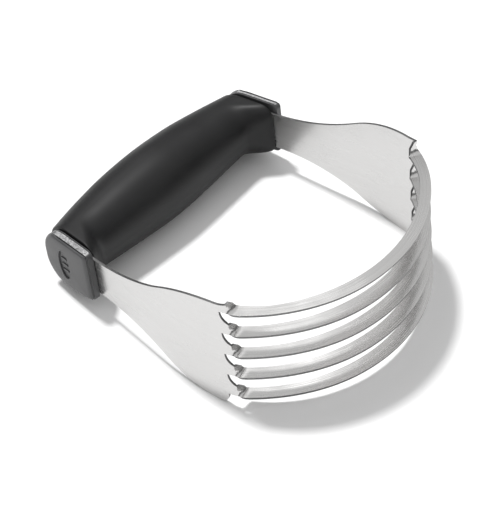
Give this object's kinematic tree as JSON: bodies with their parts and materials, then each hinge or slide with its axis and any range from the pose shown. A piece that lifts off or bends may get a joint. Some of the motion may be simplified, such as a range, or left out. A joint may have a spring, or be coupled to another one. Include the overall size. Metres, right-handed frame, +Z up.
{
  "type": "pastry blender",
  "caption": "Hand pastry blender: a soft-gripped bar handle between two flared steel cheeks, joined by parallel curved flat blades.",
  "frame": {"origin": "centre of the footprint, on the surface that the tool lies on: the belly of the grip and the lower corners of both cheeks touch it", "axes": "+X from the handle towards the blades, +Y along the handle, +Z up; the plane of the blades rises 6.9 degrees towards +X"},
  "size_m": [0.134, 0.1128, 0.051],
  "materials": {
    "blade_steel": "fine brushed stainless steel",
    "soft_grip": "matt soft thermoplastic rubber",
    "cap_plastic": "satin hard plastic",
    "core_plastic": "moulded hard plastic, hidden"
  },
  "bodies": {
    "root": {"handle_core": "core_plastic", "grip_sleeve": "soft_grip", "end_cap_right": "cap_plastic", "end_cap_left": "cap_plastic", "cheek_right": "blade_steel", "cheek_left": "blade_steel", "blade_1": "blade_steel", "blade_2": "blade_steel", "blade_3": "blade_steel", "blade_4": "blade_steel", "blade_5": "blade_steel"}
  },
  "joints": []
}
